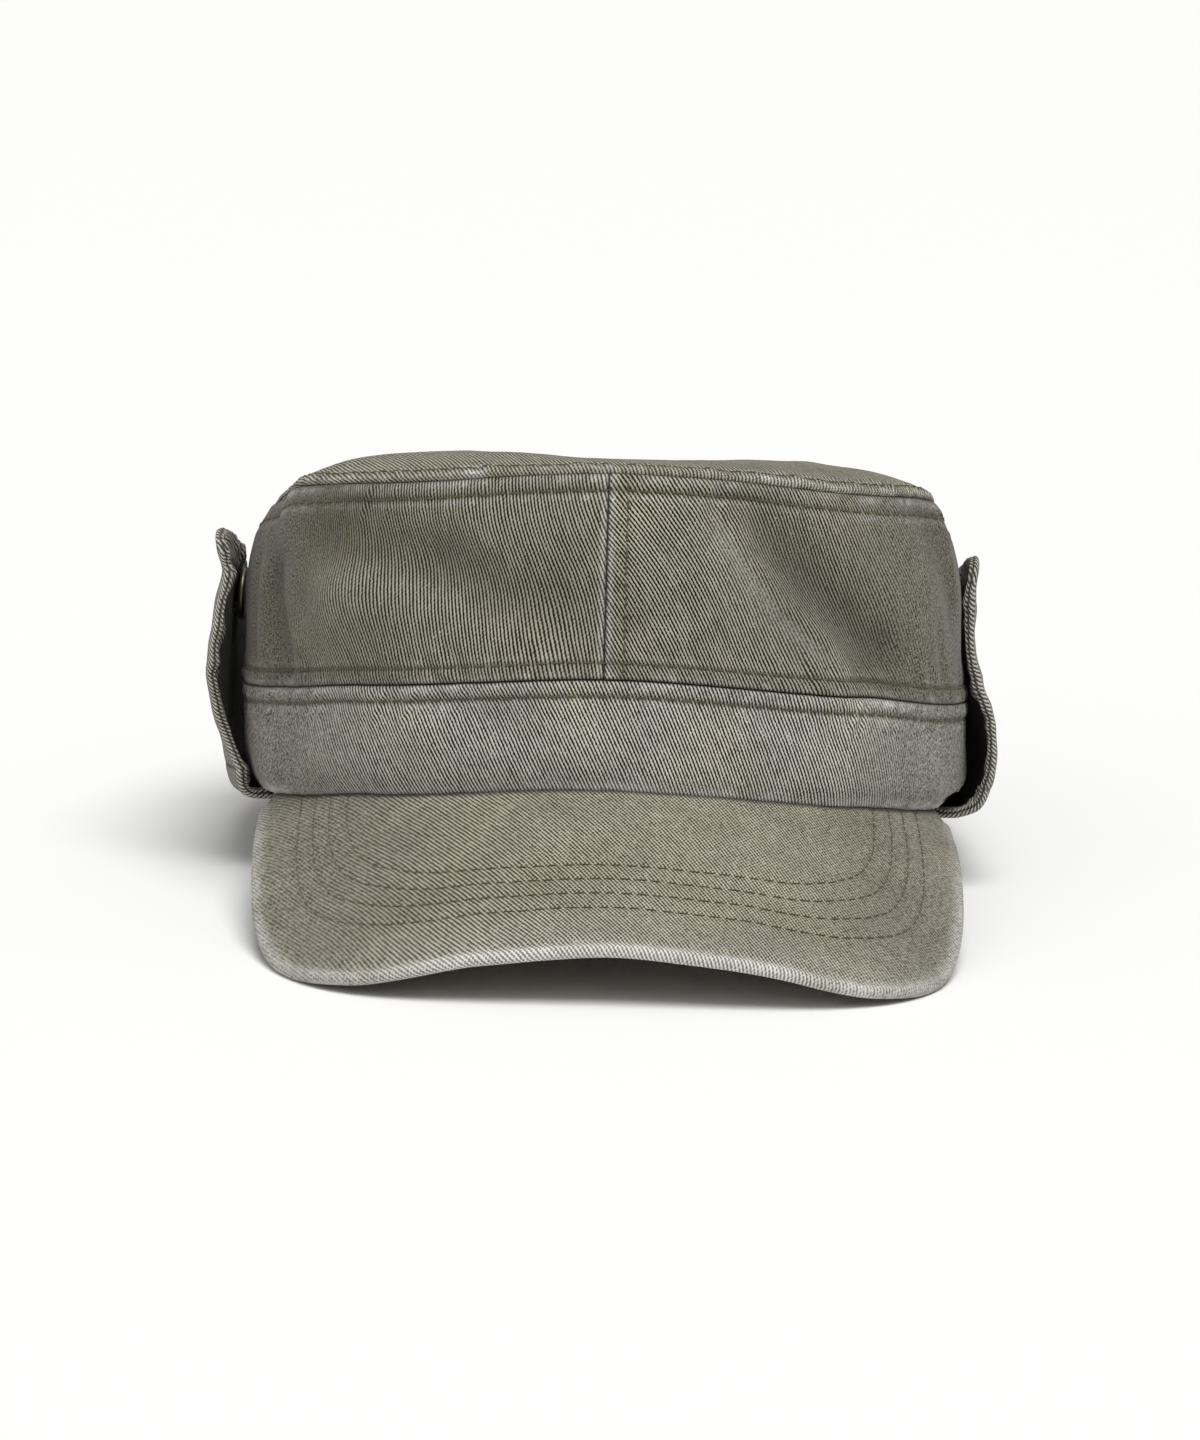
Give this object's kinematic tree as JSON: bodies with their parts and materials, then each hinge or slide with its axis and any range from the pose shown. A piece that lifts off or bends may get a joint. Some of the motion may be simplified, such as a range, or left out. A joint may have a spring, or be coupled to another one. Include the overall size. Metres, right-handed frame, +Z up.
{
  "type": "earflap cap",
  "caption": "Soft cloth cap with a curved peak, a headband, a two-panel crown and earflaps turned up and snapped to its sides.",
  "frame": {"origin": "on the surface the cap stands on, under the middle of its bounding box", "axes": "+Z up, -Y towards the peak, +X towards the earflap that is on the right as seen from the front"},
  "size_m": [0.1884, 0.2663, 0.107],
  "materials": {
    "twill": "washed olive-grey cotton twill",
    "peak_twill": "washed cotton twill, paler, over a stiff board",
    "aged_brass": "tarnished pressed brass"
  },
  "bodies": {
    "root": {"band": "twill", "crown_left": "twill", "crown_right": "twill", "top_panel": "twill", "earflap_left": "twill", "earflap_right": "twill", "peak": "peak_twill", "snap_stud_left": "aged_brass", "snap_stud_right": "aged_brass", "snap_socket_left": "aged_brass", "snap_socket_right": "aged_brass"}
  },
  "joints": []
}
